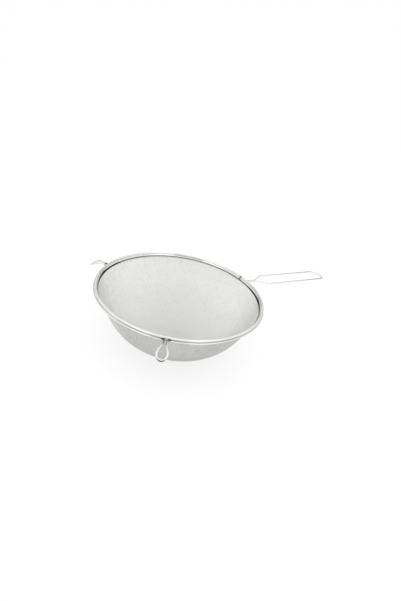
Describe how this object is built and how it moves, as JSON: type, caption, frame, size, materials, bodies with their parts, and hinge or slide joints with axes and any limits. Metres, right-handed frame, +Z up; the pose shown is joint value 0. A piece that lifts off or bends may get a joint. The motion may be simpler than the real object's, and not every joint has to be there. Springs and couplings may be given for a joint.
{
  "type": "wire mesh bowl strainer",
  "caption": "Round bowl strainer of fine woven wire in a rolled steel rim, on a wire hoop with rest hooks that sit on a pot and a long wire-loop handle.",
  "frame": {"origin": "middle of the flat foot under the bowl, on the surface that the strainer stands on", "axes": "+Z up along the bowl's axis with the rim level, +X out along the handle"},
  "size_m": [0.4617, 0.2596, 0.097],
  "materials": {
    "woven_cloth": "bright woven steel wire",
    "rim_sheet": "bright polished sheet",
    "frame_wire": "bright drawn wire"
  },
  "bodies": {
    "root": {"mesh_bowl": "woven_cloth", "rim_band": "rim_sheet", "hoop_wire_left": "frame_wire", "hoop_wire_right": "frame_wire", "hoop_wire_far": "frame_wire", "rest_hook_left": "frame_wire", "rest_hook_right": "frame_wire", "handle_wire": "frame_wire"}
  },
  "joints": []
}
